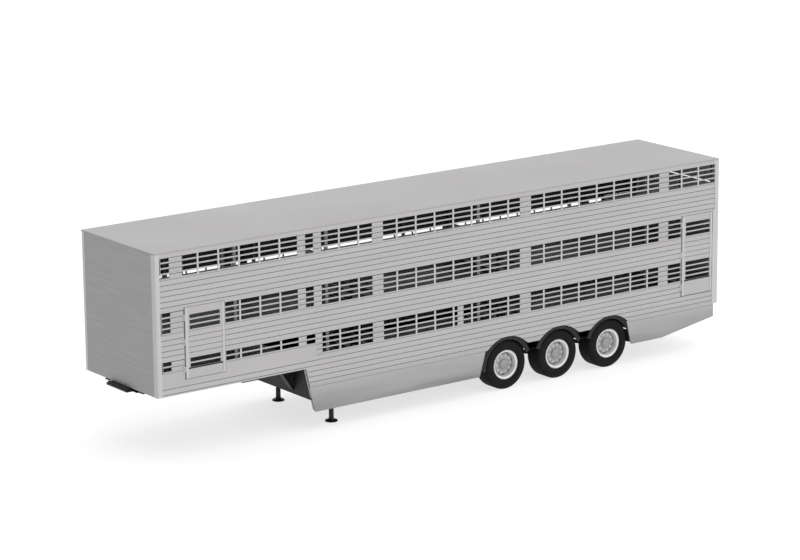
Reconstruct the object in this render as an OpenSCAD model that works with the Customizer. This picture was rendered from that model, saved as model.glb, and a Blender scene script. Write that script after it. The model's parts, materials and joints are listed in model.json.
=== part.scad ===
/* [Body] */
// Length of the body, front wall to rear frame
body_len = 13600; // [11400:10:16400]
// Width over the side trims
body_w = 2550; // [2300:10:2900]
// Height of the roof above the ground
top_z = 3950; // [3900:5:4200]
// Height of the walls' lower edge over the neck
neck_edge_z = 1250; // [1240:1:1260]
// Depth of the raised trims and hinge strips over the planks
trim_t = 6; // [4:0.5:10]
// Thickness of the side planks
plank_t = 25; // [18:1:30]
// Thickness of the roof panel
roof_t = 25; // [15:1:40]

/* [Planks and grilles] */
// Pitch of the planks and of the grille slats
plank_pitch = 102.5; // [96:0.5:106]
// Height that the lowest plank's lower edge comes nearest to
skirt_aim_z = 870; // [830:5:900]
// Height of one grille slat
slat_h = 30; // [20:1:40]
// Thickness of the slats and bars
slat_t = 20; // [12:1:24]
// Pitch of the upright bars
bar_pitch = 448.5; // [350:0.5:700]
// Width of an upright bar
bar_w = 38; // [20:1:60]
// Place of the first upright bar behind the front wall
first_bar_x = 934; // [900:1:980]
// Width of the groove between two planks
groove_w = 6; // [3:1:10]
// Depth of the groove between two planks
groove_d = 5; // [2:0.5:8]
// Clear height between the roof's top and the upper grille
fascia_h = 106; // [80:1:130]
// Width and depth of the corner posts
post_w = 110; // [90:1:140]
// Corner radius of the front posts
post_r = 40; // [10:1:60]

/* [Floors and decks] */
// Top of the floor over the neck
neck_floor_z = 1330; // [1325:1:1345]
// Top of the floor behind the neck
rear_floor_z = 1125; // [1110:1:1140]
// Place of the floor's step behind the front wall
step_x = 3450; // [3450:1:3480]
// Thickness of the floor sheets
sheet_t = 8; // [5:1:12]
// Underside of the middle deck at rest
middle_deck_z = 1930; // [1925:1:1960]
// Thickness of a deck
deck_t = 70; // [50:1:80]
// Gap between the parked decks
deck_gap = 50; // [20:1:80]
// Clearance between a deck and the side posts
deck_clear = 10; // [5:1:20]
// Thickness of a partition gate
gate_t = 30; // [20:1:40]
// Height of a gate on the upper deck
upper_gate_h = 745; // [600:5:745]

/* [Doors] */
// Width of a side door
door_w = 860; // [700:5:900]
// Distance from the rear door's edge to the rear of the body
rear_door_inset = 160; // [150:5:200]
// Setback of the hinge strip from the door's edge, for the hinge's fixed leaf
strip_setback = 8; // [8:1:12]
// Gap beside a door, on its hinge side
hinge_gap = 20; // [18:1:26]
// Gap around the other edges of a door
door_gap = 8; // [5:1:12]
// Radius of a side hinge knuckle
knuckle_r = 8; // [7:0.5:9]
// Radius of a side hinge pin
hinge_pin_r = 4; // [3:0.5:5]
// Thickness of the ramp's panel
ramp_t = 40; // [30:1:45]
// Height of the ramp's free edge when closed
ramp_top_z = 3424; // [3300:1:3430]

/* [Running gear] */
// Radius of a tyre
tyre_r = 498; // [460:1:500]
// Width of a tyre
tyre_w = 386; // [340:1:390]
// Distance between axles
axle_pitch = 1310; // [1300:5:1500]
// Distance from the last axle to the rear of the body
rear_overhang = 2880; // [2800:10:3000]
// Distance from the tyres' middle to the body's side
tyre_inset = 245; // [240:1:260]
// Nominal radius of the rim's bead seat
rim_r = 285; // [270:1:290]
// Radius of the wheel spindle
spindle_r = 40; // [30:1:45]
// Radial running clearance of hubs, legs and pins
run_clear = 0.05; // [0.02:0.01:0.09]
// Distance from the suspension pivot to its axle
arm_len = 500; // [450:5:540]
// Radius of the mudguards over the tyres
guard_gap = 64; // [58:1:66]

/* [Landing gear and coupling] */
// Place of the legs behind the front wall
leg_x = 4100; // [4000:10:4400]
// Radius of a leg's inner column
leg_r = 48; // [40:1:65]
// Travel of the legs from the ground
leg_travel = 390; // [300:10:390]
// Radius of a foot
foot_r = 125; // [100:5:230]
// Height of a foot
foot_h = 70; // [50:1:90]
// Thickness of a foot's rim
foot_t = 30; // [15:1:40]
// Place of the king pin behind the front wall
king_pin_x = 1650; // [1500:10:1750]
// Length of the coupling plate's lip ahead of the front wall
lip_len = 100; // [60:5:120]
// Radius of the king pin's neck, where the jaws close
pin_neck_r = 25.4; // [25:0.1:25.4]
// Radius of the king pin's collar, which passes through the coupling plate
pin_collar_r = 36.5; // [34:0.5:38]
// Radius of the king pin's head
pin_head_r = 35.7; // [34:0.1:36]
// Radius of the king pin's mounting flange
pin_flange_r = 90; // [70:5:120]
// Thickness of the coupling plate
plate_t = 10; // [8:1:12]

/* [Hidden] */
$fn = 48;
half_w = body_w / 2;
frame_x = (body_len - lip_len) / 2;
outer_y = half_w - trim_t;
inner_y = outer_y - plank_t;
grid_top = top_z - fascia_h;
plank_end = round((grid_top - skirt_aim_z) / plank_pitch);
function grid(k) = grid_top - plank_pitch * k;
// Rows of the grid: the grilles lie between these, and the planks between the grilles
top_row = [0, 4];
mid_row = [plank_end - 19, plank_end - 15];
low_row = [plank_end - 10, plank_end - 6];
front_low_row = [low_row[0], low_row[0] + 2];
skirt_z = grid(plank_end);
// Grooves between the planks of each band
mid_grooves = [mid_row[1] + 1 : low_row[0] - 1];
// Upright edges along the side
plank_x0 = post_w;
plank_x1 = body_len - 100;
grille_x0 = post_w + 18;
band_step_x = 3520;
low_front_x = 3480;
neck_slope_x = 3265;
stiff_w = 60;
post_in = 39;
deck_y = inner_y - post_in - deck_clear;
clear_x = post_w + 10;
// Closed bays of the grilles, from the front wall or from the rear
closed_bays = [
    [325, 600], [3130, 3310], [3490, 3670], [4844, 5100],
    [body_len - 5189, body_len - 4915], [body_len - 1600, body_len - 1344]];
low_closed_bay = [body_len - 6730, body_len - 6590];
infill_t = 12;
infill_in = 5;
// Doors: front edge, rear edge, bottom and top
door_top = grid(mid_row[0]) + 40;
front_door_x = 626;
front_door = [front_door_x, front_door_x + door_w, 1515, door_top];
rear_door_w = door_w - 46;
rear_door_x = body_len - rear_door_inset - rear_door_w;
rear_door = [rear_door_x, rear_door_x + rear_door_w, 1189, door_top];
strip_w = 64;
strip_end_w = 50;
hinge_y = half_w - knuckle_r;
hinge_h = 60;
hinge_end_h = 30;
hinge_play = 1;
top_door_z0 = ramp_top_z + 16;
door_leaf_t = 26;
top_axis_y = half_w - post_w - knuckle_r;
top_hinge_zs = [top_door_z0 + 60, grid_top - 140];
// Wheels and arches
axle_x3 = body_len - rear_overhang;
axles = [axle_x3 - 2 * axle_pitch, axle_x3 - axle_pitch, axle_x3];
tyre_y = half_w - tyre_inset;
arch_top = 1088;
arch_top_w = 230;
arch_w = 515;
guard_r = tyre_r + guard_gap;
guard_t = 5;
guard_z = 720;
guard_in_y = tyre_y - tyre_w / 2 - 12;
// Chassis
rail_y = half_w - 675;
rail_w = 140;
flange_t = 16;
web_t = 10;
rail_top = rear_floor_z - sheet_t - 32;
rail_low = 685;
neck_top = neck_floor_z - sheet_t - 32;
neck_low = 1190;
// Rail outline as top and bottom edge points, from the neck to the rear
rail_upper = [[60, neck_top], [step_x - 20, neck_top], [step_x, rail_top],
    [body_len - 160, rail_top]];
rail_lower = [[60, neck_low], [step_x - 400, neck_low], [step_x - 60, rail_low],
    [body_len - 700, rail_low], [body_len - 160, rail_low + 200]];
pivot_z = 520;
pivot_r = 20;
eye_r = 45;
beam_r = 63.5;
arm_w = 70;
bellows_r = 130;
pad_dx = 370;
pad_top = 415;
axle_half = rail_y + 100;
spindle_end = tyre_y + 85;
wall_h = tyre_r - rim_r;
crown_t = 26;
leg_y = half_w - 375;
housing_half = leg_r + 15;
column_low = 480;
column_top = rail_top - leg_travel - 10;
shaft_dx = leg_r + 45;
shaft_z = 800;
shaft_r = 15;
ramp_axis_x = body_len - 15;
ramp_axis_z = rear_floor_z - 50;
ramp_knuckle_r = 12;
ramp_pin_r = 6;
ramp_y = half_w - post_w - 12;
ramp_ys = [for (i = [-3 : 2 : 3]) i * (ramp_y - 283) / 3 - 30];
gate_xs = [4972, body_len - 5052];
gate_pin_r = 10;
gate_y = inner_y - post_in - 30;
gate_post_r = 20;
gate_lift = 15;
upper_deck_z = middle_deck_z + deck_t + deck_gap;
bow_z = top_z - roof_t - 40;
lower_gate_h = middle_deck_z - rear_floor_z - gate_lift - 25;
gate_end = gate_y + inner_y - post_in - 15;

module placed() {
    translate([-frame_x, 0, 0]) children();
}

module both_sides() {
    children();
    mirror([0, 1, 0]) children();
}

// A plate of the left side, from its inner to its outer distance off the middle
module side_plate(inner, outer) {
    translate([0, -inner, 0]) rotate([90, 0, 0]) linear_extrude(outer - inner) children();
}

module cell(x0, x1, z0, z1) {
    translate([x0, z0]) square([x1 - x0, z1 - z0]);
}

module block(x0, x1, y0, y1, z0, z1) {
    translate([x0, y0, z0]) cube([x1 - x0, y1 - y0, z1 - z0]);
}

module rod_y(x, z, r, y0, y1) {
    translate([x, y0, z]) rotate([-90, 0, 0]) cylinder(r = r, h = y1 - y0);
}

// Room that the side wall leaves for a door
module door_room(d) {
    cell(d[0] - hinge_gap, d[1] + door_gap, d[2] - door_gap, d[3] + door_gap);
}

module arch(x) {
    polygon([[x - arch_w, skirt_z - 1], [x - arch_w, skirt_z + 4], [x - arch_top_w, arch_top],
        [x + arch_top_w, arch_top], [x + arch_w, skirt_z + 4], [x + arch_w, skirt_z - 1]]);
}

module plank_outline() {
    difference() {
        union() {
            cell(plank_x0, plank_x1, grid(mid_row[0]), grid(top_row[1]));
            cell(plank_x0, plank_x1, grid(low_row[0]), grid(mid_row[1]));
            cell(plank_x0, band_step_x, neck_edge_z, grid(front_low_row[1]));
            polygon([[band_step_x, grid(low_row[1])], [plank_x1, grid(low_row[1])],
                [plank_x1, skirt_z], [neck_slope_x + 89, skirt_z],
                [neck_slope_x, neck_edge_z], [band_step_x, neck_edge_z]]);
        }
        door_room(front_door);
        door_room(rear_door);
        for (x = axles) arch(x);
    }
}

module planks() {
    upper_grooves = [top_row[1] + 1 : mid_row[0] - 1];
    lower_grooves = [low_row[1] + 1 : plank_end - 1];
    difference() {
        side_plate(inner_y, outer_y) plank_outline();
        for (rows = [upper_grooves, mid_grooves, lower_grooves]) for (k = rows)
            block(plank_x0 - 1, plank_x1 + 1, -outer_y - 1, -outer_y + groove_d,
                grid(k) - groove_w / 2, grid(k) + groove_w / 2);
    }
}

module left_planks() {
    color("silver") planks();
}

module right_planks() {
    color("silver") mirror([0, 1, 0]) planks();
}

// One run of a grille: slats, upright bars and closed bays in one welded frame
module grille_run(x0, x1, row, bays) {
    k0 = row[0];
    k1 = row[1];
    last = floor((x1 - bar_w - first_bar_x) / bar_pitch);
    slat_y = outer_y - slat_t;
    side_plate(slat_y, outer_y) {
        for (k = [k0 : k1 - 1]) cell(x0, x1, grid(k + 1), grid(k + 1) + slat_h);
        cell(x0, x0 + 12, grid(k1), grid(k0));
        cell(x1 - 12, x1, grid(k1), grid(k0));
        for (i = [0 : last])
            if (first_bar_x + bar_pitch * i > x0 + 40)
                translate([first_bar_x + bar_pitch * i - bar_w / 2, grid(k1)])
                    square([bar_w, grid(k0) - grid(k1)]);
    }
    for (b = bays)
        if (b[0] > x0 - 40 && b[1] < x1 + 40)
            side_plate(outer_y - infill_in - infill_t, outer_y - infill_in)
                cell(max(b[0], x0), min(b[1], x1), grid(k1), grid(k0));
}

module top_grilles() {
    color("silver") both_sides() grille_run(grille_x0, plank_x1, top_row, closed_bays);
}

module middle_grilles() {
    color("silver") both_sides() {
        grille_run(grille_x0, front_door[0] - hinge_gap, mid_row, closed_bays);
        grille_run(front_door[1] + door_gap, rear_door[0] - hinge_gap, mid_row, closed_bays);
    }
}

module bottom_grilles() {
    bays = concat(closed_bays, [low_closed_bay]);
    color("silver") both_sides() {
        grille_run(grille_x0, front_door[0] - hinge_gap, front_low_row, closed_bays);
        grille_run(front_door[1] + door_gap, low_front_x, front_low_row, closed_bays);
        grille_run(low_front_x + 40, rear_door[0] - hinge_gap, low_row, bays);
    }
}

// Uprights behind the closed bays and beside the doors
module side_posts() {
    bay_posts = [for (b = closed_bays) (b[0] + b[1]) / 2];
    low_post = (low_closed_bay[0] + low_closed_bay[1]) / 2;
    jambs = [front_door[1] - 2, rear_door[0] - 20, rear_door[1] + 20];
    color("silver") both_sides() {
        for (x = concat(bay_posts, jambs))
            block(x - stiff_w / 2, x + stiff_w / 2, -inner_y, -inner_y + post_in,
                (x < step_x ? neck_floor_z : rear_floor_z), grid_top);
        block(front_door[0] - 16, front_door[0] + 10, -inner_y, -inner_y + post_in,
            neck_floor_z, grid_top);
        block(low_post - stiff_w / 2, low_post + stiff_w / 2, -inner_y, -inner_y + post_in,
            rear_floor_z, middle_deck_z);
    }
}

module roof_panel() {
    edge_r = 12;
    color("gainsboro") rotate([90, 0, 90]) linear_extrude(body_len) {
        translate([-half_w, top_z - roof_t]) square([body_w, roof_t - edge_r]);
        translate([-half_w + edge_r, top_z - edge_r]) square([body_w - 2 * edge_r, edge_r]);
        for (s = [-1, 1]) translate([s * (half_w - edge_r), top_z - edge_r]) circle(edge_r);
    }
}

module roof_rails() {
    bow_n = floor(body_len / 1700);
    bow_gap = (plank_x1 - 2 * post_w) / bow_n;
    color("silver") {
        both_sides()
            block(post_w, plank_x1, -half_w, -half_w + 70, grid_top, top_z - roof_t);
        for (i = [0 : bow_n])
            block(post_w + bow_gap * i + 40, post_w + bow_gap * i + 80, -half_w + 70,
                half_w - 70, bow_z, top_z - roof_t);
    }
}

module corner_profile() {
    difference() {
        union() {
            square([post_w, post_w - post_r]);
            translate([post_r, 0]) square([post_w - post_r, post_w]);
            translate([post_r, post_w - post_r]) circle(post_r);
        }
        translate([8, 8]) square([post_w - 16, post_w - post_r - 12]);
    }
}

module front_posts() {
    color("gainsboro") both_sides()
        translate([0, -half_w + post_w, neck_edge_z]) mirror([0, 1, 0])
            linear_extrude(top_z - roof_t - neck_edge_z) corner_profile();
}

module front_wall() {
    color("darkgray")
        block(4, 34, -half_w + post_w, half_w - post_w, neck_edge_z, top_z - roof_t);
}

module rear_frame() {
    post_z = 905;
    trim_x = rear_door[1] + 6;
    color("gainsboro") {
        both_sides() {
            difference() {
                block(plank_x1, body_len, -half_w, -half_w + post_w, post_z, top_z - roof_t);
                block(plank_x1 + 8, body_len - 8, -half_w + 8, -half_w + post_w - 8,
                    post_z - 1, top_z - roof_t - 8);
            }
            block(trim_x + 6, plank_x1, -half_w, -outer_y, skirt_z + 30, door_top + 40);
        }
        block(plank_x1, body_len - 44, -half_w + post_w, half_w - post_w, grid_top,
            top_z - roof_t);
        block(plank_x1 + 45, body_len, -half_w + post_w, half_w - post_w, post_z,
            ramp_axis_z - 25);
    }
}

module side_skirts() {
    color("silver") both_sides() side_plate(inner_y, outer_y) {
        polygon([[neck_slope_x + 89, skirt_z], [neck_slope_x + 196, 415],
            [neck_slope_x + 206, 388], [neck_slope_x + 235, 375], [axles[0] - 695, 375],
            [axles[0] - 550, skirt_z]]);
        polygon([[axles[2] + 455, skirt_z], [axles[2] + 562, 412], [axles[2] + 590, 400],
            [axles[2] + 1390, 400], [body_len - 90, 628], [body_len - 90, skirt_z + 30],
            [plank_x1, skirt_z + 30], [plank_x1, skirt_z]]);
    }
}

module guard_arcs(r) {
    for (x = axles) translate([x, tyre_r]) circle(r, $fn = 96);
}

module mudguards() {
    color("black") both_sides() side_plate(guard_in_y, inner_y - 4)
        difference() {
            union() {
                intersection() {
                    guard_arcs(guard_r + guard_t);
                    cell(axles[0] - 600, axles[2] + 600, guard_z, top_z);
                }
                cell(axles[0], axles[2], guard_z, guard_z + guard_t);
            }
            guard_arcs(guard_r);
        }
}

module rail_outline(low, high) {
    polygon(concat(
        [for (p = rail_upper) [p[0], p[1] - high]],
        [for (i = [len(rail_lower) - 1 : -1 : 0]) [rail_lower[i][0], rail_lower[i][1] + low]]));
}

module chassis_rails() {
    color([0.1, 0.1, 0.1]) both_sides() {
        side_plate(rail_y - rail_w / 2, rail_y + rail_w / 2) difference() {
            rail_outline(0, 0);
            rail_outline(flange_t, flange_t);
        }
        side_plate(rail_y - web_t / 2, rail_y + web_t / 2) difference() {
            rail_outline(flange_t / 2, flange_t / 2);
            translate([leg_x + shaft_dx, shaft_z]) circle(shaft_r + 5);
        }
    }
}

module cross_members() {
    neck_n = 6;
    rear_n = floor((body_len - 160 - step_x) / 640);
    neck_gap = (step_x - clear_x - 140) / neck_n;
    rear_gap = (body_len - 220 - step_x) / rear_n;
    color([0.1, 0.1, 0.1]) {
        for (i = [0 : neck_n])
            block(clear_x + neck_gap * i, clear_x + 80 + neck_gap * i, -inner_y, inner_y,
                neck_top, neck_floor_z - sheet_t);
        for (i = [0 : rear_n])
            block(step_x + 30 + rear_gap * i, step_x + 110 + rear_gap * i, -inner_y, inner_y,
                rail_top, rear_floor_z - sheet_t);
        for (x = [2300, leg_x + 700, axles[0] + 640, axles[1] + 640, axles[2] + 640])
            block(x, x + 60, -rail_y + web_t / 2, rail_y - web_t / 2,
                (x < step_x ? neck_low + flange_t : rail_low + 120),
                (x < step_x ? neck_top : rail_top) - flange_t);
    }
}

module coupling_plate() {
    plate_y = 500;
    lip_y = 360;
    color([0.12, 0.12, 0.12]) {
        difference() {
            block(34, 2400, -plate_y, plate_y, neck_low - plate_t, neck_low);
            translate([king_pin_x, 0, neck_low - plate_t - 1])
                cylinder(r = pin_collar_r + run_clear, h = plate_t + 2);
        }
        block(-lip_len, 34, -lip_y, lip_y, neck_low - plate_t, neck_low + 30);
        block(-lip_len + 20, 4, -lip_y + 20, lip_y - 20, neck_low + 30, neck_edge_z);
    }
}

module king_pin() {
    collar_h = 25;
    neck_h = 35;
    head_h = 24;
    pin_flange_t = 16;
    color("dimgray") translate([king_pin_x, 0, neck_low - plate_t]) {
        translate([0, 0, -collar_h]) cylinder(r = pin_collar_r, h = collar_h + plate_t + 1);
        translate([0, 0, -collar_h - neck_h]) cylinder(r = pin_neck_r, h = neck_h);
        translate([0, 0, -collar_h - neck_h - head_h]) cylinder(r = pin_head_r, h = head_h);
        translate([0, 0, plate_t]) cylinder(r = pin_flange_r, h = pin_flange_t);
    }
}

module lower_floor() {
    floor_y = inner_y - post_in;
    end_y = half_w - post_w;
    neck_z = neck_floor_z - sheet_t;
    rear_z = rear_floor_z - sheet_t;
    color("darkgray") difference() {
        union() {
            block(clear_x - 10, step_x + 10, -floor_y, floor_y, neck_z, neck_floor_z);
            block(34, clear_x, -end_y, end_y, neck_z, neck_floor_z);
            block(step_x, step_x + 10, -floor_y, floor_y, rear_z, neck_z + 1);
            block(step_x, plank_x1, -floor_y, floor_y, rear_z, rear_floor_z);
            block(plank_x1 - 1, plank_x1 + 5, -end_y, end_y, rear_z, rear_floor_z);
        }
        for (x = gate_xs) gate_socket(x, rear_z);
    }
}

// Bore in a floor sheet for the pivot pin of a gate
module gate_socket(x, z) {
    translate([x, -gate_y, z - 1]) cylinder(r = gate_pin_r + run_clear, h = sheet_t + 2);
}

module neck_bulkhead() {
    wall_y = inner_y - 4;
    slot_w = rail_w + 4;
    low = 610;
    color("black") translate([step_x - 40, 0, 0]) rotate([90, 0, -90]) linear_extrude(8)
        difference() {
            translate([-wall_y, low]) square([2 * wall_y, neck_top - 2 - low]);
            for (s = [-1, 1])
                translate([s * rail_y - slot_w / 2, rail_low - 4]) square([slot_w, rail_top]);
        }
}

module leg_housings() {
    box_y = 30;
    box_h = 100;
    brace_h = 190;
    side = leg_x + housing_half;
    color("black") both_sides() {
        difference() {
            union() {
                block(leg_x - housing_half, side, -leg_y - housing_half, -leg_y + housing_half,
                    column_low, rail_top);
                block(side, leg_x + shaft_dx + 40, -leg_y - box_y, -leg_y + box_y,
                    shaft_z - box_h / 2, shaft_z + box_h / 2);
            }
            translate([leg_x, -leg_y, column_low - 1])
                cylinder(r = leg_r + run_clear, h = rail_top);
            rod_y(leg_x + shaft_dx, shaft_z, shaft_r + run_clear, -leg_y - box_y - 10,
                -leg_y + box_y + 10);
        }
        block(leg_x - 60, leg_x + 60, -leg_y + housing_half, -rail_y - rail_w / 2,
            rail_top - brace_h, rail_top);
    }
}

module leg_column() {
    translate([leg_x, -leg_y, foot_h]) cylinder(r = leg_r, h = column_top - foot_h);
}

module foot() {
    translate([leg_x, -leg_y, 0]) {
        cylinder(r = foot_r, h = foot_t);
        cylinder(r = leg_r + 6, h = foot_h);
    }
}

module left_leg() {
    color("black") leg_column();
}

module right_leg() {
    color("black") mirror([0, 1, 0]) leg_column();
}

module left_foot() {
    color("black") foot();
}

module right_foot() {
    color("black") mirror([0, 1, 0]) foot();
}

// Cross shaft through both gear boxes, with the crank on the left side
module leg_crank() {
    x = leg_x + shaft_dx;
    arm = 220;
    arm_y = leg_y + 138;
    arm_t = 12;
    grip_r = 14;
    grip_len = 120;
    color("dimgray") {
        rod_y(x, shaft_z, shaft_r, -arm_y - arm_t, leg_y + 45);
        block(x - grip_r, x + grip_r, -arm_y - arm_t, -arm_y, shaft_z - arm, shaft_z);
        rod_y(x, shaft_z - arm, grip_r, -arm_y - arm_t - grip_len, -arm_y);
    }
}

module hanger_brackets() {
    plate_y = [rail_y - arm_w / 2 - 14, rail_y + arm_w / 2 + 2];
    color("black") both_sides() for (x = axles) {
        for (y = plate_y)
            side_plate(y, y + 12) difference() {
                polygon([[x - arm_len - 110, rail_low], [x - arm_len + 110, rail_low],
                    [x - arm_len + 50, pivot_z - 50], [x - arm_len - 50, pivot_z - 50]]);
                translate([x - arm_len, pivot_z]) circle(pivot_r);
            }
        rod_y(x - arm_len, pivot_z, pivot_r, -plate_y[1] - 20, -plate_y[0] + 8);
    }
}

// Axle tube with its spindles, and a trailing arm under it on each side
module axle_set(x) {
    seat_z = tyre_r - beam_r;
    color("black") {
        rod_y(x, tyre_r, beam_r, -axle_half, axle_half);
        rod_y(x, tyre_r, spindle_r, -spindle_end, spindle_end);
        both_sides() {
            side_plate(rail_y - arm_w / 2, rail_y + arm_w / 2) difference() {
                union() {
                    translate([x - arm_len, pivot_z]) circle(eye_r);
                    polygon([[x - arm_len - 20, pivot_z - 40], [x - 120, seat_z - 55],
                        [x + pad_dx + 90, pad_top - 24], [x + pad_dx + 90, pad_top - 4],
                        [x + pad_dx - 100, pad_top - 4], [x + 120, seat_z],
                        [x - 120, seat_z], [x - arm_len + 20, pivot_z + 40]]);
                }
                translate([x - arm_len, pivot_z]) circle(pivot_r + run_clear);
            }
            translate([x + pad_dx, -rail_y, pad_top - 10]) cylinder(r = bellows_r * 0.75, h = 10);
            block(x - 110, x + 110, -rail_y - arm_w / 2, -rail_y + arm_w / 2, seat_z,
                seat_z + 20);
            rod_y(x + 150, tyre_r + 40, 75, -axle_half + 190, -axle_half + 330);
            block(x + 40, x + 80, -axle_half + 200, -axle_half + 320, tyre_r, tyre_r + 80);
        }
    }
}

module front_axle() {
    axle_set(axles[0]);
}

module middle_axle() {
    axle_set(axles[1]);
}

module rear_axle() {
    axle_set(axles[2]);
}

module air_springs() {
    top_h = 12;
    color([0.08, 0.08, 0.08]) both_sides() for (x = axles)
        translate([x + pad_dx, -rail_y, pad_top]) {
            cylinder(r = bellows_r * 0.7, h = rail_low - pad_top);
            translate([0, 0, 40])
                cylinder(r = bellows_r, h = rail_low - pad_top - 40 - top_h);
        }
}

module tyre(x, side) {
    color([0.07, 0.07, 0.07]) translate([x, side * tyre_y, tyre_r]) rotate([90, 0, 0])
        rotate_extrude($fn = 96) polygon(concat(
            tyre_wall(-1), backwards(tyre_wall(1)), tyre_inside(1), [[tyre_r - crown_t, 0]],
            backwards(tyre_inside(-1))));
}

// Outer wall of the tyre on side s, from its bead to the edge of its tread
function tyre_wall(s) = [
    [rim_r, s * 150], [rim_r + 12, s * 160],
    [rim_r + wall_h * 0.19, s * (tyre_w / 2 - 14)], [rim_r + wall_h * 0.49, s * tyre_w / 2],
    [rim_r + wall_h * 0.73, s * (tyre_w / 2 - 4)], [rim_r + wall_h * 0.91, s * (tyre_w / 2 - 22)],
    [tyre_r - 6, s * (tyre_w / 2 - 33)], [tyre_r, s * (tyre_w / 2 - 48)]];

// Inner wall of the tyre on side s, from its bead to its shoulder
function tyre_inside(s) = [
    [rim_r, s * 120], [rim_r + wall_h * 0.14, s * 140],
    [rim_r + wall_h * 0.54, s * (tyre_w / 2 - 20)], [rim_r + wall_h * 0.82, s * 140]];

// Half of a symmetrical rim barrel, from its outer lip to the middle of the well
function barrel_edge(r, s) = [
    [r + 14, s * 170], [r + 14, s * 163], [r, s * 150.5], [r, s * 112], [r - 20, s * 60]];
function barrel_bore(r, s) = [
    [r - 30, s * 62], [r - 10, s * 114], [r - 10, s * 150], [r - 2, s * 170]];
function backwards(v) = [for (i = [len(v) - 1 : -1 : 0]) v[i]];

// Wheel disc with its rim and nuts, and the hub that turns on the spindle
module rim(x, side) {
    disc_in = 60;
    hub_r = 140;
    pcd_r = 167.5;
    hole_n = 10;
    seat_r = rim_r - 0.3;
    color("lightgray") translate([x, side * tyre_y, tyre_r]) rotate([side * -90, 0, 0]) {
        difference() {
            union() {
                rotate_extrude($fn = 96) polygon([
                    [hub_r + 0.5, disc_in], [205, disc_in], [seat_r - 35, 106],
                    [seat_r - 8, 116], [seat_r - 8, 130], [seat_r - 42, 120],
                    [198, disc_in + 14], [hub_r + 0.5, disc_in + 14]]);
                rotate_extrude($fn = 96) polygon(concat(
                    barrel_edge(seat_r, 1), backwards(barrel_edge(seat_r, -1)),
                    backwards(barrel_bore(seat_r, -1)), barrel_bore(seat_r, 1)));
                for (i = [0 : hole_n - 1])
                    rotate([0, 0, i * 360 / hole_n])
                        translate([pcd_r, 0, disc_in + 13]) cylinder(r = 16, h = 26, $fn = 6);
            }
            for (i = [0 : hole_n - 1])
                rotate([0, 0, (i + 0.5) * 360 / hole_n])
                    translate([226, 0, 0]) cylinder(r = 24, h = 140);
        }
        difference() {
            union() {
                translate([0, 0, -70]) cylinder(r = hub_r, h = disc_in + 74);
                cylinder(r = 82, h = 128);
                translate([0, 0, 40]) cylinder(r = pcd_r + 24, h = disc_in - 40.3);
            }
            translate([0, 0, -71]) cylinder(r = spindle_r + run_clear, h = 71 + 86);
        }
    }
}

// Slots of a door panel, one for each grille gap from row k0 to k1
module door_slots(x0, x1, k0, k1) {
    for (k = [k0 : k1 - 1]) cell(x0, x1, grid(k + 1) + slat_h, grid(k));
}

module hinge_webs(d, z, h, reach) {
    x = d[0] - hinge_gap / 2;
    translate([x, -hinge_y, z]) cylinder(r = knuckle_r, h = h);
    block(min(x, x + reach), max(x, x + reach), -half_w, -outer_y, z, z + h);
}

function hinge_zs(d) = [d[2] + 150, (d[2] + d[3]) / 2, d[3] - 210];

// Door panel with its plank grooves, hinge strip, edge strip and middle knuckles
module side_door(d, low_row_end) {
    x0 = d[0] + 102;
    x1 = d[1] - 96 + (d[0] > step_x ? 36 : 0);
    axis_x = d[0] - hinge_gap / 2;
    color("silver") difference() {
        union() {
            difference() {
                side_plate(inner_y, outer_y) difference() {
                    cell(d[0], d[1], d[2], d[3]);
                    door_slots(x0, x1, mid_row[0] + 1, mid_row[1]);
                    door_slots(x0, x1, low_row[0], low_row_end);
                }
                for (k = mid_grooves)
                    block(d[0] + strip_w, d[1] - strip_end_w, -outer_y - 1,
                        -outer_y + groove_d, grid(k) - groove_w / 2, grid(k) + groove_w / 2);
            }
            side_plate(outer_y, half_w) {
                cell(d[0] + strip_setback, d[0] + strip_w, d[2], d[3]);
                cell(d[1] - strip_end_w, d[1], d[2], d[3]);
            }
            for (z = hinge_zs(d)) hinge_webs(d, z, hinge_h, hinge_gap / 2 + 4);
        }
        for (z = hinge_zs(d))
            translate([axis_x, -hinge_y, z - 1])
                cylinder(r = hinge_pin_r + run_clear, h = hinge_h + 2);
    }
}

module left_front_door() {
    side_door(front_door, front_low_row[1]);
}

module right_front_door() {
    mirror([0, 1, 0]) left_front_door();
}

module left_rear_door() {
    side_door(rear_door, low_row[1]);
}

module right_rear_door() {
    mirror([0, 1, 0]) left_rear_door();
}

// Fixed halves of the door and ramp hinges, each with its pin
module hinge_brackets() {
    leaf = 46;
    color("gray") {
        both_sides() {
            for (d = [front_door, rear_door]) for (z = hinge_zs(d)) {
                hinge_webs(d, z - hinge_end_h - hinge_play, hinge_end_h, -leaf);
                hinge_webs(d, z + hinge_h + hinge_play, hinge_end_h, -leaf);
                translate([d[0] - hinge_gap / 2, -hinge_y, z - hinge_end_h])
                    cylinder(r = hinge_pin_r, h = hinge_h + 2 * hinge_end_h);
            }
            for (z = top_hinge_zs) {
                for (end_z = [z - hinge_end_h - hinge_play, z + hinge_h + hinge_play])
                    top_knuckle(end_z, hinge_end_h, -8);
                translate([body_len - knuckle_r, -top_axis_y, z - hinge_end_h])
                    cylinder(r = hinge_pin_r, h = hinge_h + 2 * hinge_end_h);
            }
        }
        for (y = ramp_ys) {
            for (end_y = [y - 31, y + 61]) {
                rod_y(ramp_axis_x, ramp_axis_z, ramp_knuckle_r, end_y, end_y + 30);
                block(ramp_axis_x - ramp_knuckle_r, ramp_axis_x + ramp_knuckle_r, end_y,
                    end_y + 30, ramp_axis_z - 25, ramp_axis_z);
            }
            rod_y(ramp_axis_x, ramp_axis_z, ramp_pin_r, y - 30, y + 90);
        }
    }
}

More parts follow.
